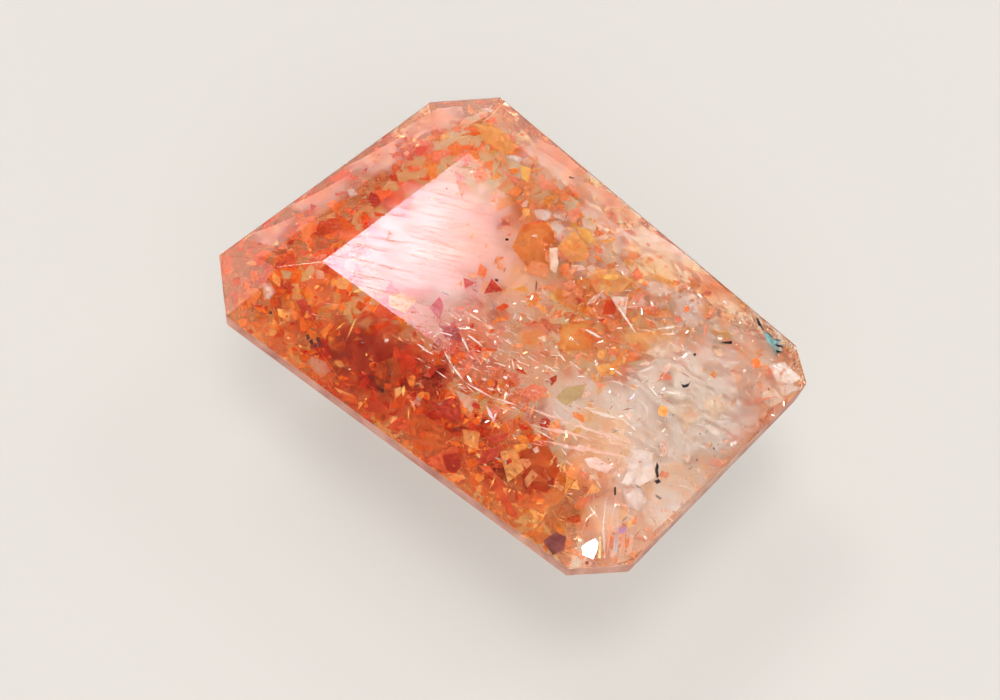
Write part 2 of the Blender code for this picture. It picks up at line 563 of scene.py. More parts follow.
# Solid platelets: thicker plates of the same iron oxide, crowded together deeper down, that
# send the light back instead of passing it. These are the colours that they send back.
SOLID_TINTS = {
    "orange": [(1.0, 0.34, 0.05), (0.90, 0.24, 0.03), (1.0, 0.46, 0.10), (0.84, 0.17, 0.03)],
    "amber": [(1.0, 0.58, 0.18), (1.0, 0.66, 0.26), (1.0, 0.50, 0.16)],
    "apricot": [(1.0, 0.56, 0.28), (1.0, 0.64, 0.36), (1.0, 0.50, 0.22)],
    "red": [(0.80, 0.11, 0.03), (0.68, 0.08, 0.03)],
    "brown": [(0.64, 0.13, 0.03), (0.56, 0.09, 0.03)],
    "tan": [(0.88, 0.54, 0.27), (0.80, 0.46, 0.24)],
    "gold": [(1.0, 0.64, 0.18), (1.0, 0.74, 0.30)],
    "coral": [(1.0, 0.48, 0.33), (1.0, 0.58, 0.43)],
    "pale": [(1.0, 0.95, 0.90), (1.0, 0.97, 0.94)],
}
solid_plates = []
for middle, spread, count, _, colours in PATCHES:
    tints = [tint for colour in colours for tint in SOLID_TINTS[colour]]
    solid_plates += strew(
        (middle, spread, count), angular, tints, depths=(0.5, 0.99), usual_size=0.17, mix=0.6,
        freedom=0.1)
join_plates(
    "solid_platelets", solid_plates, plate_finish("solid iron oxide", (0.92, 0.68, 0.54), 10000.0))


# Half-clear platelets: plates of middling thickness, close under the crown, that show their own
# colour and let some light pass. They give the stone its angular, crazed look.
FINE_GRAIN = 12000.0


def half_clear_finish():
    """Solid in some spots and see-through in others, in the plate's own tint."""
    mat = plate_finish("half-clear iron oxide", (0.86, 0.52, 0.38), FINE_GRAIN)
    spots = mottle(mat, place_on(mat), FINE_GRAIN, detail=3.0)
    thin = graded(mat, spots, 0.35, 0.65, 0.15, 0.85)
    plate = mat.node_tree.nodes["Principled BSDF"]
    mat.node_tree.links.new(thin, plate.inputs["Transmission Weight"])
    return mat


half_clear = []
for middle, spread, _, count, colours in PATCHES:
    tints = [tint for colour in colours for tint in SOLID_TINTS[colour]]
    half_clear += strew(
        (middle, spread, count), angular, tints, depths=(0.02, 0.3), usual_size=0.14, mix=0.6,
        freedom=0.15)
join_plates("half_clear_platelets", half_clear, half_clear_finish())


# Chips: small bits of the same iron oxide plates, close under the crown, at any angle. Some have the
# oxide's own colours, and the rest are painted bright gold: painted highlights that stand in for
# glints.
CHIP_SHARE = 0.4
# Painted highlights: bright gold tints that stand in for glints.
PAINTED_GLINT_TINTS = [(1.0, 0.78, 0.36), (1.0, 0.86, 0.56), (1.0, 0.62, 0.20)]
chips = []
for middle, spread, count, _, colours in PATCHES:
    tints = [tint for colour in colours for tint in SOLID_TINTS[colour]] + PAINTED_GLINT_TINTS
    chips += strew(
        (middle, spread, round(count * CHIP_SHARE)), angular, tints, depths=(0.02, 0.3),
        usual_size=0.045, mix=0.5, freedom=0.6, widths=(0.2, 0.9))
join_plates("oxide_chips_and_painted_glints", chips, plate_finish("iron oxide and painted glints", (0.95, 0.85, 0.75)))


# Plates that stand out: the larger ones near the crown, each with its own outline. Most lie flat in
# the crystal like the rest, and they are milky and half see-through. A few short yellow and white
# streaks among them are painted glints.
OUTLINE_CLEARANCE = 0.03 * MM
DEEPEST_SHARE = 0.9
SINK_STEP = 0.02
SOFT_RIM = 0.7
CRISP_RIM = 0.08
CLEAR = (1.0, 1.0, 1.0)


def laid_out(outline, share, plane=CLEAVAGE):
    """The corners of a plate given in photo pixels, sunk until they all lie in the stone."""
    middle = (sum(x for x, _ in outline) / len(outline), sum(y for _, y in outline) / len(outline))
    while True:
        carried_by = under_pixel(middle, share)
        corners = []
        for pixel in outline:
            start, bent = sight_line(pixel)
            corners.append(start + bent * ((carried_by - start).dot(plane) / bent.dot(plane)))
        room = min(room_at(corner) for corner in corners)
        if share > DEEPEST_SHARE or room > OUTLINE_CLEARANCE:
            return corners
        share += SINK_STEP


def outlined_piece(name, plates, mat, plane=CLEAVAGE):
    """One piece made of plates with their own outlines."""
    shape = bmesh.new()
    tint_layer = shape.verts.layers.float_color.new("tint")
    milk_layer = shape.verts.layers.float.new("milk")
    for share, tint, in_middle, at_rim, outline in plates:
        corners = [shape.verts.new(place) for place in laid_out(outline, share, plane)]
        face = shape.faces.new(corners)
        face.normal_update()
        kept = min(1.0, at_rim / in_middle)
        rim_tint = tint if at_rim > 0 else CLEAR
        to_rim = 2 * face.calc_area() / face.calc_perimeter()
        rim = bmesh.ops.inset_individual(
            shape, faces=[face], thickness=(CRISP_RIM * kept + SOFT_RIM * (1 - kept)) * to_rim,
            use_even_offset=False)
        for vert in corners:
            vert[tint_layer] = (*rim_tint, 1.0)
            vert[milk_layer] = at_rim
        for vert in face.verts:
            vert[tint_layer] = (*tint, 1.0)
            vert[milk_layer] = in_middle
        grown = bmesh.ops.extrude_face_region(shape, geom=[face, *rim["faces"]])
        raised = [v for v in grown["geom"] if isinstance(v, bmesh.types.BMVert)]
        bmesh.ops.translate(shape, vec=plane * PLATE_THICKNESS, verts=raised)
    bmesh.ops.recalc_face_normals(shape, faces=shape.faces)
    mesh = bpy.data.meshes.new(name)
    shape.to_mesh(mesh)
    shape.free()
    mesh.materials.append(mat)
    return stand_in_stone(name, mesh)


# The milky streaks run along this line of the photo.
STREAKS_FROM = (440, 345)
STREAKS_TO = (640, 445)
STREAKS_SHARE = 0.2
ahead = under_pixel(STREAKS_TO, STREAKS_SHARE) - under_pixel(STREAKS_FROM, STREAKS_SHARE)
streak_angle = math.atan2(ahead.y, ahead.x)


def milky_finish(name, stretch, least=0.15, deepest=(0.96, 0.89, 0.85)):
    """Clear, with a milky mottle that sends the light back where the milk attribute is high."""
    mat = plate_finish(name, deepest, FINE_GRAIN)
    nodes = mat.node_tree.nodes
    links = mat.node_tree.links
    sheet = nodes["Principled BSDF"]
    sheet.inputs["Roughness"].default_value = 0.3
    along = stretched(mat, streak_angle, [side * MM for side in stretch])
    streaks = graded(mat, mottle(mat, along, scale=1.0, detail=4.0), 0.38, 0.62, least)
    milk = nodes.new("ShaderNodeAttribute")
    milk.attribute_name = "milk"
    cover = nodes.new("ShaderNodeMath")
    cover.operation = "MULTIPLY"
    links.new(streaks, cover.inputs[0])
    links.new(milk.outputs["Fac"], cover.inputs[1])
    open_part = graded(mat, cover.outputs["Value"], 0.0, 1.0, 1.0, 0.0)
    links.new(open_part, sheet.inputs["Transmission Weight"])
    return mat


def line(start, end, width):
    """The outline of a thin streak between two photo pixels."""
    along = Vector((end[0] - start[0], end[1] - start[1]))
    side = along.orthogonal().normalized() * width / 2
    middle = Vector(start) + along * 0.5
    return [start, tuple(middle + side), end, tuple(middle - side)]


DEEP_RED = (0.66, 0.10, 0.05)
RED = (0.86, 0.20, 0.07)
AMBER = (1.0, 0.64, 0.24)
SMOKE = (0.84, 0.60, 0.48)
RUST = (0.80, 0.26, 0.07)
SALMON = (1.0, 0.50, 0.34)
STRAW = (1.0, 0.72, 0.36)
ASH = (0.93, 0.92, 0.92)
BEIGE = (0.90, 0.76, 0.60)
CREAM = (1.0, 0.95, 0.84)
BLUSH = (1.0, 0.84, 0.80)
LILAC = (0.95, 0.84, 0.96)
WHITE = (1.0, 1.0, 1.0)
PEACH = (1.0, 0.74, 0.56)
SKY_BLUE = (0.70, 0.80, 1.0)
VIOLET = (0.72, 0.50, 0.95)
LEMON = (1.0, 0.92, 0.45)
OLIVE = (0.72, 0.62, 0.36)
YELLOW = (1.0, 0.72, 0.22)
TAN = (0.86, 0.55, 0.38)
# Each: its share of the way down, its colour, how milky its middle and its rim are, and its
# outline in photo pixels.
OUTLINED = [
    (0.06, DEEP_RED, 0.7, 0.8, [(285, 282), (295, 287), (291, 291), (284, 286)]),
    (0.06, DEEP_RED, 0.7, 0.8, [(296, 301), (304, 298), (314, 312), (311, 321), (305, 320)]),
    (0.12, SMOKE, 0.02, 0.0, [(320, 350), (338, 316), (368, 312), (414, 324), (428, 351), (420, 380),
                             (400, 406), (384, 430), (366, 404), (338, 376)]),
    (0.10, SMOKE, 0.02, 0.02, [(327, 350), (338, 328), (358, 324), (376, 334), (372, 352),
                               (350, 362), (336, 360)]),
    (0.09, RUST, 0.3, 0.3, [(373, 366), (396, 356), (404, 380), (388, 396), (376, 384)]),
    (0.10, AMBER, 0.7, 0.5, [(334, 387), (354, 396), (362, 406), (345, 400)]),
    (0.08, RED, 0.6, 0.6, [(386, 428), (399, 417), (409, 419), (408, 428), (396, 432)]),
    (0.10, RUST, 0.5, 0.4, [(415, 409), (463, 441), (426, 459), (411, 445), (409, 426)]),
    (0.08, RED, 0.8, 0.8, [(422, 461), (457, 445), (462, 466), (455, 474), (444, 472)]),
    (0.06, DEEP_RED, 0.4, 0.5, [(443, 456), (458, 452), (461, 466), (455, 473), (446, 470)]),
    (0.07, DEEP_RED, 0.7, 0.6, [(433, 406), (452, 397), (467, 417), (471, 424), (456, 421),
                                (439, 417)]),
    (0.06, DEEP_RED, 0.8, 0.7, [(476, 463), (484, 451), (501, 445), (498, 458), (485, 464)]),
    (0.06, DEEP_RED, 0.9, 0.8, [(487, 437), (510, 433), (504, 440), (490, 444)]),
    (0.08, RED, 0.7, 0.5, [(477, 465), (489, 466), (510, 489), (501, 486)]),
    (0.08, RED, 0.7, 0.5, [(488, 478), (500, 484), (520, 520), (508, 514)]),
    (0.10, RUST, 0.4, 0.1, [(520, 450), (548, 446), (560, 470), (548, 492), (524, 486)]),
    (0.08, AMBER, 0.5, 0.5, [(500, 452), (516, 448), (524, 470), (508, 482)]),
    (0.08, AMBER, 0.5, 0.4, [(462, 430), (480, 432), (478, 448), (464, 444)]),
    (0.10, AMBER, 0.3, 0.1, [(523, 224), (546, 222), (554, 234), (549, 249), (549, 268),
                             (531, 273), (512, 247)]),
    (0.10, AMBER, 0.4, 0.2, [(523, 224), (546, 222), (552, 234), (540, 246), (524, 240)]),
    (0.08, AMBER, 0.6, 0.5, [(557, 247), (574, 230), (589, 247), (587, 260), (570, 262)]),
    (0.06, SALMON, 0.8, 0.6, [(538, 174), (559, 187), (551, 191), (540, 189)]),
    (0.06, SALMON, 0.8, 0.7, [(568, 211), (579, 207), (580, 213), (575, 224), (568, 217)]),
    (0.10, STRAW, 0.5, 0.4, [(585, 272), (612, 268), (632, 280), (622, 292), (596, 292)]),
    (0.08, RED, 0.3, 0.3, [(606, 299), (619, 301), (615, 314), (602, 314)]),
    (0.10, AMBER, 0.35, 0.1, [(561, 324), (591, 320), (591, 350), (559, 350)]),
    (0.08, STRAW, 0.3, 0.0, [(513, 330), (540, 322), (556, 338), (538, 352), (516, 348)]),
    (0.06, DEEP_RED, 0.8, 0.8, [(575, 297), (585, 300), (579, 304)]),
    (0.06, DEEP_RED, 0.8, 0.8, [(598, 320), (605, 318), (604, 324)]),
    (0.08, AMBER, 0.7, 0.5, [(595, 365), (624, 364), (627, 349), (617, 375), (600, 376)]),
    (0.08, STRAW, 0.4, 0.2, [(625, 335), (660, 330), (682, 345), (664, 360), (632, 352)]),
    (0.08, AMBER, 0.6, 0.4, [(476, 124), (500, 128), (520, 150), (506, 156), (484, 142)]),
    (0.06, YELLOW, 0.8, 0.5, [(520, 165), (530, 168), (529, 184), (522, 178)]),
    (0.06, YELLOW, 0.7, 0.5, [(575, 226), (590, 230), (597, 244), (584, 242)]),
    (0.06, YELLOW, 0.8, 0.8, [(598, 275), (619, 275), (617, 280), (600, 279)]),
    (0.06, ASH, 0.6, 0.0, [(262, 284), (270, 282), (276, 292), (270, 300), (264, 299)]),
    (0.06, BEIGE, 0.4, 0.0, [(314, 270), (324, 271), (326, 278), (317, 279)]),
    (0.08, STRAW, 0.4, 0.1, [(281, 311), (292, 308), (300, 316), (295, 324), (284, 321)]),
    (0.08, OLIVE, 0.6, 0.4, [(281, 270), (292, 272), (290, 279), (283, 278)]),
    (0.08, BEIGE, 0.35, 0.1, [(311, 356), (326, 362), (331, 371), (321, 378), (306, 364)]),
    (0.06, ASH, 0.5, 0.0, [(346, 189), (355, 188), (358, 195), (350, 198)]),
    (0.06, BEIGE, 0.5, 0.4, [(454, 389), (478, 400), (469, 417)]),
    (0.06, ASH, 0.7, 0.1, [(534, 210), (545, 209), (553, 214), (548, 221), (537, 220)]),
    (0.06, ASH, 0.7, 0.1, [(549, 222), (560, 221), (574, 240), (570, 247), (556, 240)]),
    (0.06, CREAM, 0.8, 0.4, [(549, 248), (556, 247), (559, 262), (556, 273), (550, 270)]),
    (0.06, ASH, 0.8, 0.3, [(505, 156), (516, 155), (525, 160), (515, 163)]),
    (0.06, WHITE, 0.5, 0.2, [(610, 296), (628, 297), (626, 316), (618, 310)]),
    (0.06, WHITE, 0.4, 0.0, [(639, 281), (655, 277), (677, 288), (668, 299), (648, 296)]),
    (0.06, ASH, 0.6, 0.0, [(668, 292), (690, 288), (709, 300), (706, 330), (690, 339), (672, 322)]),
    (0.06, WHITE, 1.0, 0.7, [(768, 366), (784, 362), (801, 378), (790, 386), (776, 380)]),
    (0.05, CREAM, 0.7, 0.3, [(758, 394), (774, 388), (784, 400), (770, 408)]),
    (0.06, ASH, 0.9, 0.5, [(778, 386), (790, 384), (801, 390), (792, 399), (781, 396)]),
    (0.05, WHITE, 0.5, 0.5, [(624, 482), (629, 458), (640, 450), (652, 456), (655, 478), (640, 486)]),
    (0.05, WHITE, 0.9, 0.8, [(622, 483), (627, 472), (633, 481), (628, 485)]),
    (0.05, ASH, 0.7, 0.2, [(622, 488), (640, 488), (648, 500), (640, 512), (626, 506)]),
    (0.06, BLUSH, 0.8, 0.6, [(584, 459), (596, 457), (613, 467), (607, 473), (592, 468)]),
    (0.06, BEIGE, 0.6, 0.3, [(589, 475), (597, 474), (600, 480), (592, 481)]),
    (0.06, OLIVE, 0.6, 0.5, [(555, 398), (566, 387), (586, 384), (582, 396), (566, 406)]),
    (0.05, CREAM, 0.5, 0.0, [(640, 352), (668, 341), (690, 350), (662, 360)]),
    (0.05, PEACH, 0.4, 0.0, [(716, 372), (740, 362), (748, 385), (738, 402), (722, 396)]),
    (0.05, CREAM, 0.3, 0.0, [(672, 404), (692, 398), (704, 416), (684, 434)]),
    (0.06, CREAM, 0.4, 0.0, [(700, 400), (724, 392), (732, 408), (712, 424)]),
    (0.05, TAN, 0.7, 0.6, [(738, 405), (765, 400), (790, 396), (772, 420), (744, 444),
                           (724, 438), (727, 420)]),
    (0.05, WHITE, 0.7, 0.2, line((606, 496), (602, 540), 2)),
    (0.05, WHITE, 0.5, 0.1, line((603, 520), (605, 560), 3)),
    (0.05, PEACH, 0.5, 0.1, line((612, 506), (607, 556), 4)),
    (0.05, WHITE, 0.5, 0.1, line((616, 500), (611, 522), 2)),
    (0.05, SKY_BLUE, 0.6, 0.0, [(613, 552), (614, 536), (618, 522), (619, 540), (617, 552)]),
    (0.05, VIOLET, 0.5, 0.2, [(618, 533), (620, 527), (627, 527), (625, 533)]),
    (0.05, LEMON, 0.6, 0.2, [(627, 527), (628, 521), (632, 521), (631, 527)]),
    (0.05, PEACH, 0.5, 0.0, [(619, 556), (622, 536), (625, 532), (624, 556)]),
    (0.05, WHITE, 0.4, 0.0, [(626, 556), (631, 534), (634, 536), (632, 552)]),
    (0.05, LEMON, 0.9, 0.7, [(598, 558), (599, 537), (601, 537), (601, 559)]),
    (0.04, YELLOW, 1.0, 1.0, line((356, 318), (347, 339), 1.6)),
    (0.04, YELLOW, 1.0, 1.0, line((345, 322), (336, 330), 1.6)),
    # Painted glints: the next two short yellow streaks.
    (0.04, YELLOW, 1.0, 1.0, line((404, 385), (403, 397), 4)),
    (0.04, YELLOW, 1.0, 1.0, line((409, 408), (408, 420), 1.6)),
    (0.04, YELLOW, 1.0, 1.0, line((489, 490), (496, 475), 1.6)),
    # Painted glint: the next short yellow streak.
    (0.04, YELLOW, 1.0, 1.0, line((534, 404), (530, 417), 1.6)),
    (0.05, WHITE, 1.0, 0.8, line((444, 351), (452, 366), 2.2)),
    (0.05, WHITE, 1.0, 0.8, line((451, 364), (465, 383), 2.2)),
    (0.05, WHITE, 1.0, 0.8, line((464, 382), (493, 398), 2.2)),
    (0.05, WHITE, 1.0, 0.8, line((491, 397), (519, 406), 2.2)),
    (0.06, BLUSH, 0.7, 0.3, line((519, 405), (578, 426), 3)),
    (0.06, BLUSH, 0.7, 0.3, line((528, 424), (600, 440), 3)),
    (0.06, BLUSH, 0.7, 0.3, line((560, 420), (640, 446), 3)),
    (0.06, BLUSH, 0.6, 0.3, line((540, 440), (632, 458), 4)),
    (0.06, WHITE, 0.7, 0.3, line((575, 405), (632, 424), 3)),
    (0.05, LILAC, 1.0, 0.8, line((486, 405), (494, 422), 4)),
    (0.05, LILAC, 1.0, 0.8, line((497, 411), (490, 428), 3)),
    (0.05, WHITE, 1.0, 0.9, line((611, 296), (641, 341), 2.2)),
    (0.05, WHITE, 1.0, 0.9, line((628, 297), (622, 322), 2)),
    (0.05, WHITE, 1.0, 0.9, line((656, 329), (681, 326), 2.2)),
    (0.05, WHITE, 1.0, 0.9, line((658, 335), (680, 333), 2.2)),
    (0.05, WHITE, 1.0, 0.9, line((640, 372), (655, 366), 4)),
    (0.05, SALMON, 0.9, 0.8, line((705, 341), (706, 320), 4)),
    (0.05, SALMON, 0.9, 0.8, line((706, 322), (716, 303), 4)),
    (0.05, SALMON, 0.7, 0.5, line((735, 405), (779, 396), 3)),
    (0.05, WHITE, 1.0, 1.0, line((733, 443), (737, 443), 5)),
    # Painted glint: the next white speck.
    (0.05, WHITE, 1.0, 1.0, line((384, 342), (389, 339), 4)),
]
outlined_piece(
    "outlined_plates", OUTLINED,
    milky_finish("milky plate and painted glint", (0.1, 0.07, 0.1), 0.3, (0.92, 0.78, 0.70)))


# Dark grains: specks, a crescent and short lines of black oxide, and a few brown and grey ones.
# They are solid and lie close under the crown.
def solid(plates):
    """Plates given by share, colour and outline, as milky at the rim as in the middle."""
    return [(share, tint, 1.0, 1.0, outline) for share, tint, outline in plates]


BLACK = (0.03, 0.02, 0.02)
DARK_BROWN = (0.16, 0.05, 0.04)
BROWN = (0.50, 0.26, 0.16)
HAZEL = (0.68, 0.44, 0.30)
GREY = (0.40, 0.36, 0.35)
PLUM = (0.30, 0.09, 0.08)
# Each: its share of the way down, its colour and its outline in photo pixels.
DARK_GRAINS = [
    (0.03, DARK_BROWN, [(306, 335), (309, 334), (310, 339), (307, 340)]),
    (0.03, DARK_BROWN, [(309, 341), (312, 339), (314, 344), (311, 345)]),
    (0.03, DARK_BROWN, [(312, 345), (316, 344), (317, 347), (313, 348)]),
    (0.03, DARK_BROWN, [(316, 337), (320, 338), (321, 342), (317, 342)]),
    (0.03, DARK_BROWN, [(317, 343), (321, 343), (321, 347), (318, 347)]),
    (0.03, BLACK, [(756, 318), (758, 318), (764, 330), (762, 329)]),
    (0.03, BLACK, [(766, 333), (768, 332), (773, 337), (771, 338)]),
    (0.03, BLACK, [(773, 339), (782, 340), (776, 342)]),
    (0.03, BLACK, [(775, 344), (786, 347), (777, 347)]),
    (0.03, BLACK, [(776, 350), (784, 352), (777, 353)]),
    (0.06, BLACK, [(269, 311), (272, 312), (272, 315), (270, 314)]),
    (0.06, BLACK, [(382, 389), (384, 389), (384, 391), (382, 391)]),
    (0.06, BLACK, [(495, 279), (498, 279), (498, 282), (495, 281)]),
    (0.06, BLACK, [(506, 238), (509, 239), (508, 241), (505, 240)]),
    (0.06, BLACK, [(569, 176), (575, 178), (573, 179), (569, 178)]),
    (0.05, BLACK, [(657, 462), (659, 466), (658, 471), (659, 476), (657, 479), (655, 471)]),
    (0.05, BLACK, [(654, 481), (659, 479), (661, 482), (657, 484)]),
    (0.05, BLACK, [(640, 458), (643, 457), (643, 460), (641, 461)]),
    (0.05, BLACK, [(646, 456), (649, 458), (648, 461), (646, 459)]),
    (0.05, BLACK, [(641, 462), (645, 463), (644, 465), (641, 464)]),
    (0.05, GREY, [(635, 484), (640, 487), (644, 493), (645, 500), (641, 493)]),
    (0.05, BLACK, [(614, 487), (616, 487), (616, 495), (614, 495)]),
    (0.05, BLACK, [(680, 512), (682, 511), (681, 517), (679, 518)]),
    (0.05, BLACK, [(681, 384), (684, 385), (690, 383), (688, 387), (683, 388)]),
    (0.05, BLACK, [(693, 354), (696, 353), (696, 356), (694, 356)]),
    (0.05, BLACK, [(709, 336), (713, 340), (720, 342), (716, 343), (710, 339)]),
    (0.05, BLACK, [(720, 342), (732, 341), (732, 344), (721, 344)]),
    (0.05, BLACK, [(755, 318), (758, 322), (762, 327), (759, 326)]),
    (0.05, GREY, [(713, 447), (715, 448), (715, 450), (713, 449)]),
    (0.05, GREY, [(696, 459), (698, 459), (698, 461), (696, 461)]),
    (0.05, GREY, [(721, 461), (723, 461), (723, 463), (722, 463)]),
    (0.05, GREY, [(699, 433), (701, 433), (701, 435), (700, 435)]),
    (0.05, GREY, [(655, 494), (662, 498), (660, 500), (656, 497)]),
    (0.05, BROWN, [(653, 317), (664, 318), (660, 322), (654, 321)]),
    (0.04, HAZEL, [(738, 373), (744, 373), (755, 385), (752, 389), (742, 381)]),
    (0.04, HAZEL, [(744, 389), (748, 391), (752, 400), (747, 400), (743, 395)]),
    (0.05, HAZEL, [(712, 344), (722, 347), (724, 355), (718, 357), (712, 350)]),
    (0.05, HAZEL, [(769, 399), (773, 399), (773, 407), (769, 407)]),
    (0.05, PLUM, [(543, 541), (555, 532), (566, 537), (564, 550), (553, 555)]),
    (0.05, HAZEL, [(731, 400), (736, 398), (736, 406), (732, 407)]),
    (0.05, GREY, line((489, 296), (499, 316), 1.5)),
    (0.05, GREY, line((746, 364), (752, 374), 2)),
    (0.05, PLUM, [(585, 562), (588, 561), (589, 564), (586, 565)]),
]
outlined_piece("dark_grains", solid(DARK_GRAINS), plate_finish("black oxide", (0.6, 0.5, 0.5)))


# Copper discs: small round plates of bright orange metal oxide, solid and nearly opaque. They
# grew flat in the crystal, most of them at its pale end.
DISC_CORNERS = 14


def disc(middle, across, up):
    """The outline of a round plate in photo pixels."""
    steps = [math.tau * i / DISC_CORNERS for i in range(DISC_CORNERS)]
    return [(middle[0] + across * math.cos(a), middle[1] + up * math.sin(a)) for a in steps]


BRIGHT_ORANGE = (1.0, 0.45, 0.12)
RED_ORANGE = (0.95, 0.25, 0.06)
DISCS = [
    (0.05, BRIGHT_ORANGE, disc((663, 411), 5.0, 5.5)),
    (0.02, RED_ORANGE, disc((756, 363), 4.0, 5.5)),
    (0.03, RED_ORANGE, disc((687, 309), 2.5, 3.0)),
    (0.03, RED_ORANGE, disc((605, 322), 2.0, 2.0)),
]
outlined_piece(
    "copper_discs", solid(DISCS), plate_finish("orange oxide", (0.95, 0.6, 0.5), FINE_GRAIN))


# The green flake: a thin leaf of copper mineral with a toothed edge. It grew in by the right
# corner, close under the crown.
TEAL = (0.34, 0.62, 0.66)
GREEN_FLAKE = [
    (0.06, TEAL, [(763, 331), (768, 334), (774, 340), (781, 341), (778, 344), (784, 346),
                  (778, 347), (783, 351), (777, 351), (780, 356), (774, 354), (769, 346)]),
]
outlined_piece(
    "green_flake", solid(GREEN_FLAKE),
    plate_finish("green copper mineral", (0.45, 0.6, 0.6), FINE_GRAIN))


# Milky veils: healed cracks, wavy sheets full of tiny fluid specks, that frost the pale end of
# the crystal and fan out from its middle in streaks. The pink cloud is more of them, flat and
# even, under the table.
VEIL_CELLS = 40
VEIL_BEND = 0.12 * MM
VEIL_PATCH = 0.5 * MM
VEIL_UNEVEN = 0.5
VEIL_SPREAD = 1.3
VEIL_RIM = 0.2
MILK = (0.95, 0.93, 0.92)
SAND_MILK = (0.82, 0.75, 0.67)
GOLD_MILK = (1.0, 0.78, 0.48)
PEACH_MILK = (1.0, 0.84, 0.72)
CORAL_MILK = (1.0, 0.50, 0.28)
PINK_MILK = (1.0, 0.56, 0.44)
APRICOT_MILK = (1.0, 0.70, 0.46)
# Each veil: its middle in the photo, its share of the way down, its reach in millimetres, how
# milky it is, how much it leans, and its colour.
VEILS = [
    ((690, 400), 0.12, 1.3, 0.9, 0.1, SAND_MILK),
    ((640, 440), 0.2, 1.2, 0.95, 0.2, MILK),
    ((700, 440), 0.4, 1.3, 0.9, 0.3, SAND_MILK),
    ((670, 500), 0.4, 1.0, 0.9, 0.3, MILK),
    ((720, 460), 0.7, 1.2, 0.9, 0.3, SAND_MILK),
    ((590, 410), 0.2, 0.9, 0.8, 0.3, MILK),
    ((540, 385), 0.3, 0.8, 0.7, 0.4, MILK),
    ((470, 335), 0.2, 0.8, 0.5, 0.4, CORAL_MILK),
    ((740, 360), 0.3, 0.9, 0.3, 0.2, PEACH_MILK),
    ((620, 530), 0.3, 0.6, 0.6, 0.3, MILK),
    ((650, 270), 0.2, 0.9, 0.8, 0.2, GOLD_MILK),
    ((590, 240), 0.2, 0.9, 0.8, 0.2, PEACH_MILK),
    ((540, 180), 0.3, 0.8, 0.6, 0.3, PEACH_MILK),
    ((620, 330), 0.3, 0.8, 0.6, 0.3, GOLD_MILK),
    ((270, 228), 0.15, 0.5, 0.9, 0.1, CORAL_MILK),
    ((320, 192), 0.15, 0.6, 0.9, 0.1, CORAL_MILK),
    ((375, 155), 0.15, 0.6, 0.9, 0.1, CORAL_MILK),
    ((430, 118), 0.15, 0.6, 0.9, 0.1, CORAL_MILK),
    ((560, 155), 0.25, 0.7, 0.7, 0.2, CORAL_MILK),
    ((615, 195), 0.25, 0.7, 0.6, 0.2, CORAL_MILK),
    ((670, 240), 0.25, 0.7, 0.9, 0.2, PEACH_MILK),
    ((720, 285), 0.25, 0.6, 0.7, 0.2, CORAL_MILK),
    ((770, 400), 0.2, 0.6, 0.5, 0.2, PEACH_MILK),
]
PINK_CLOUD = [
    ((450, 240), 0.12, 1.4, 0.95, 0.0, PINK_MILK),
    ((505, 272), 0.17, 1.1, 0.6, 0.0, APRICOT_MILK),
    ((505, 250), 0.45, 1.3, 0.9, 0.0, CORAL_MILK),
]


def veils_piece(name, sheets, mat, plane=CLEAVAGE):
    """One piece made of veils, each densest in its middle and clear at its rim."""
    veils = bmesh.new()
    veils.verts.layers.float.new("milk")
    veils.verts.layers.float_color.new("tint")
    for pixel, share, reach, strength, lean, tint in sheets:
        middle = under_pixel(pixel, share)
        facing = (plane + lean * Vector(noise.random_unit_vector())).normalized()
        half = VEIL_SPREAD * reach * MM
        sheet = growth_sheet(middle, facing, half, VEIL_CELLS, VEIL_BEND)
        frayed = [v for v in sheet.verts if (v.co - middle).length > half]
        bmesh.ops.delete(sheet, geom=frayed, context="VERTS")
        layer = sheet.verts.layers.float.new("milk")
        tint_layer = sheet.verts.layers.float_color.new("tint")
        for vert in sheet.verts:
            uneven = 1 + VEIL_UNEVEN * noise.noise(vert.co / VEIL_PATCH)
            out = (vert.co - middle).length / half
            dense = max(0.0, 1 - (out * uneven) ** 2) ** 2 * min(1.0, (1 - out) / VEIL_RIM)
            vert[layer] = strength * dense
            vert[tint_layer] = (*Vector(CLEAR).lerp(Vector(tint), dense), 1.0)
        thicken(sheet, facing)
        one = bpy.data.meshes.new("one veil")
        sheet.to_mesh(one)
        sheet.free()
        veils.from_mesh(one)
        bpy.data.meshes.remove(one)
    mesh = bpy.data.meshes.new(name)
    veils.to_mesh(mesh)
    veils.free()
    mesh.materials.append(mat)
    return stand_in_stone(name, mesh)


veils_piece("milky_veils", VEILS, milky_finish("healed crack", (0.34, 0.12, 0.3), 0.35))
veils_piece("pink_cloud", PINK_CLOUD, milky_finish("pink cloud", (0.8, 0.5, 0.8), 0.7), UP)
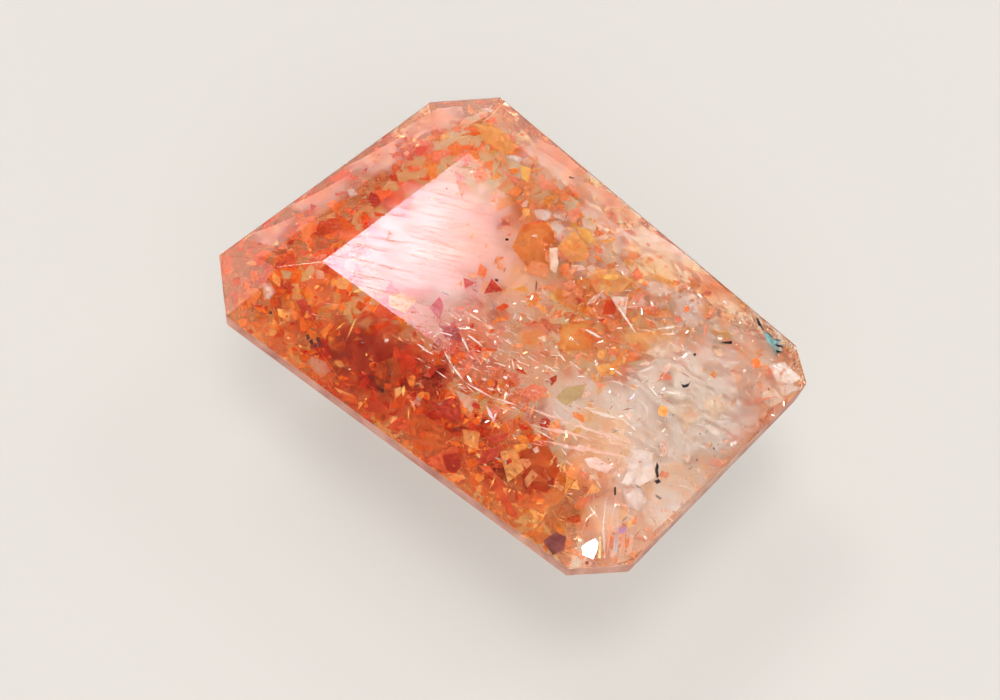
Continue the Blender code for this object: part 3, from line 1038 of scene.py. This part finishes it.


# Feathers: hair-thin tongues of healed crack that spread from the middle of the stone towards its
# pale end. They are white all over: partly the crack's own white, and partly painted highlights that
# stand in for glints.
# Each patch: its middle and spread in the photo, in pixels, and how many feathers it has.
FEATHERS = [
    ((470, 350), 32, 260),
    ((482, 333), 20, 120),
    ((550, 395), 36, 240),
    ((610, 430), 36, 240),
    ((690, 400), 45, 240),
    ((640, 330), 40, 100),
    ((620, 520), 30, 80),
]
FEATHER_DEPTHS = (0.02, 0.4)
FEATHER_LENGTH = 0.09
FEATHER_MIX = 0.5
FEATHER_WIDTHS = (0.03, 0.10)
FEATHER_SPREAD = 0.3
FEATHER_TILT = 0.35
tongues = crystal_outlines(12, 4, 5)
feathers = []
for (px, py), spread, count in FEATHERS:
    for _ in range(count):
        pixel = (random.gauss(px, spread), random.gauss(py, spread))
        place = under_pixel(pixel, random.uniform(*FEATHER_DEPTHS))
        if place is None:
            continue
        length = random.lognormvariate(math.log(FEATHER_LENGTH), FEATHER_MIX) * MM
        if room_at(place) < length + CLEARANCE:
            continue
        facing = (CLEAVAGE + FEATHER_TILT * Vector(noise.random_unit_vector())).normalized()
        course = streak_angle + random.gauss(0, FEATHER_SPREAD)
        side = facing.cross(heading(course, 0)).normalized()
        turn = Matrix((side.cross(facing), side, facing)).transposed().to_4x4()
        width = length * random.uniform(*FEATHER_WIDTHS)
        lie = Matrix.Translation(place) @ turn @ Matrix.Diagonal(
            (length, width, PLATE_THICKNESS, 1))
        # Their white is partly the crack's own and partly painted highlight.
        feathers.append((random.choice(tongues), lie, random.choice(SOLID_TINTS["pale"])))
join_plates("feathers", feathers, plate_finish("crack white and painted glint", (0.95, 0.9, 0.9)))


# Pale grains: the tiny fluid specks between the veils, seen as fine white dust. They lie at
# all depths and at any angle.
# Each patch: its middle, its spread and how many grains it has.
CLOUDS = [
    ((690, 400), 50, 350),
    ((640, 450), 40, 250),
    ((560, 400), 40, 200),
    ((480, 340), 35, 150),
    ((560, 230), 40, 120),
    ((740, 350), 40, 150),
]
grains = []
for patch in CLOUDS:
    grains += strew(
        patch, angular, SOLID_TINTS["pale"], depths=(0.03, 0.9), usual_size=0.03, freedom=1.0)
join_plates("pale_grains", grains, plate_finish("fluid specks", (0.95, 0.92, 0.9)))


# Copper flakes: the same kind of plate, but bare bright metal, which flashes when it faces a
# window. They are slivers, scattered close under the crown.
def copper_finish():
    """Bright copper with a faintly uneven polish."""
    mat = plate_finish("bright copper", (0.95, 0.9, 0.85))
    plate = mat.node_tree.nodes["Principled BSDF"]
    plate.inputs["Metallic"].default_value = 1.0
    plate.inputs["Roughness"].default_value = 0.12
    return mat


COPPER_TINTS = [(1.0, 0.85, 0.6), (1.0, 0.93, 0.85), (1.0, 0.75, 0.4)]
SILVER_TINTS = [(1.0, 0.97, 0.95), (1.0, 0.93, 0.93)]
# Each patch: its middle, its spread, how many flakes it has, and their colours.
FLAKES = [
    (((330, 330), 60, 120), COPPER_TINTS),
    (((480, 350), 45, 500), SILVER_TINTS),
    (((500, 440), 50, 300), COPPER_TINTS + SILVER_TINTS),
    (((640, 340), 60, 300), SILVER_TINTS),
    (((600, 220), 60, 150), COPPER_TINTS + SILVER_TINTS),
    (((350, 190), 50, 60), COPPER_TINTS),
    (((680, 430), 50, 350), SILVER_TINTS),
    (((620, 530), 25, 100), SILVER_TINTS),
]
slivers = crystal_outlines(12, 4, 5)
flakes = []
for patch, tints in FLAKES:
    flakes += strew(
        patch, slivers, tints, depths=(0.01, 0.3), usual_size=0.05, freedom=0.8,
        widths=(0.1, 0.3))
join_plates("copper_flakes", flakes, copper_finish())


# The flashing flake: a larger copper flake by the near corner. It faces halfway between the
# camera and the bright window, so it shows the window's light.
FLASH = [(582, 547), (587, 543), (595, 539), (598, 543), (597, 550), (593, 559), (583, 555)]
FLASH_AT = (589, 549)
FLASH_SHARE = 0.05
WINDOW_AT = (140.5, 53.0)
to_window = heading(*(math.radians(angle) for angle in WINDOW_AT))
start, bent = sight_line(FLASH_AT)
crown = surface.find_nearest(start)[1]
slant = crown.dot(to_window)
in_stone = to_window / REFRACTION + crown * (
    math.sqrt(1 - (1 - slant * slant) / REFRACTION ** 2) - slant / REFRACTION)
halfway = (in_stone.normalized() - bent).normalized()
outlined_piece(
    "flashing_flake", solid([(FLASH_SHARE, SILVER_TINTS[0], FLASH)]), copper_finish(), halfway)


# The floor is plain and pale and lets a little light up through it. The light is soft: an even
# bright room, wide dim windows and four small bright ones. The table mirrors the one of those
# that stands behind the stone and to the left.
FLOOR_HALF = 0.4
FLOOR_GAP = 0.02 * MM
floor_shape = bmesh.new()
bmesh.ops.create_grid(floor_shape, x_segments=1, y_segments=1, size=FLOOR_HALF)
bmesh.ops.translate(floor_shape, vec=(0, 0, -FLOOR_GAP), verts=floor_shape.verts)
floor_mesh = bpy.data.meshes.new("floor")
floor_shape.to_mesh(floor_mesh)
floor_shape.free()
floor = bpy.data.objects.new("floor", floor_mesh)
bpy.context.scene.collection.objects.link(floor)
paper = bpy.data.materials.new("pale paper")
paper.use_nodes = True
sheet = paper.node_tree.nodes["Principled BSDF"]
sheet.inputs["Base Color"].default_value = (0.15, 0.145, 0.134, 1)
sheet.inputs["Roughness"].default_value = 0.9
sheet.inputs["Emission Color"].default_value = (1.0, 0.95, 0.89, 1)
sheet.inputs["Emission Strength"].default_value = 0.42
floor_mesh.materials.append(paper)

ROOM_LIGHT = (0.24, 0.235, 0.23, 1)
# Each window: azimuth and elevation of its middle, inner and outer angle, strength and colour.
WINDOWS = [
    (140.3, 52.9, 2.8, 6.5, 13.5, (1.0, 0.95, 1.20)),
    (48.0, 4.0, 14.0, 30.0, 0.8, (1.0, 0.97, 0.94)),
    (149.0, -30.0, 55.5, 56.1, 1.15, (1.0, 0.96, 0.98)),
    (190.0, 32.0, 7.0, 11.0, 1.9, (1.0, 0.95, 1.0)),
    (300.0, 84.0, 7.0, 14.0, 21.0, (1.0, 0.99, 0.98)),
    (232.0, 20.0, 20.0, 32.0, 1.3, (1.0, 0.99, 0.97)),
    (56.0, 52.0, 18.0, 30.0, 0.25, (1.0, 0.93, 0.86)),
    (72.0, 40.0, 6.0, 12.0, 9.5, (1.0, 0.98, 0.95)),
    (166.0, 52.0, 7.0, 12.0, 16.0, (1.0, 0.98, 0.95)),
    (-40.0, 22.0, 30.0, 50.0, 3.8, (1.0, 0.99, 0.97)),
]
world = bpy.data.worlds.new("soft room")
bpy.context.scene.world = world
world.use_nodes = True
room = world.node_tree
way = room.nodes.new("ShaderNodeTexCoord")
light = room.nodes.new("ShaderNodeRGB").outputs["Color"]
light.default_value = ROOM_LIGHT
for azimuth, elevation, inner, outer, strength, colour in WINDOWS:
    facing = room.nodes.new("ShaderNodeVectorMath")
    facing.operation = "DOT_PRODUCT"
    facing.inputs[1].default_value = heading(math.radians(azimuth), math.radians(elevation))
    room.links.new(way.outputs["Generated"], facing.inputs[0])
    edge = room.nodes.new("ShaderNodeMapRange")
    edge.interpolation_type = "SMOOTHSTEP"
    edge.inputs["From Min"].default_value = math.cos(math.radians(outer))
    edge.inputs["From Max"].default_value = math.cos(math.radians(inner))
    edge.inputs["To Max"].default_value = strength
    room.links.new(facing.outputs["Value"], edge.inputs["Value"])
    glow = room.nodes.new("ShaderNodeVectorMath")
    glow.operation = "SCALE"
    glow.inputs[0].default_value = colour
    room.links.new(edge.outputs["Result"], glow.inputs["Scale"])
    both = room.nodes.new("ShaderNodeVectorMath")
    both.operation = "ADD"
    room.links.new(light, both.inputs[0])
    room.links.new(glow.outputs["Vector"], both.inputs[1])
    light = both.outputs["Vector"]
room.links.new(light, room.nodes["Background"].inputs["Color"])
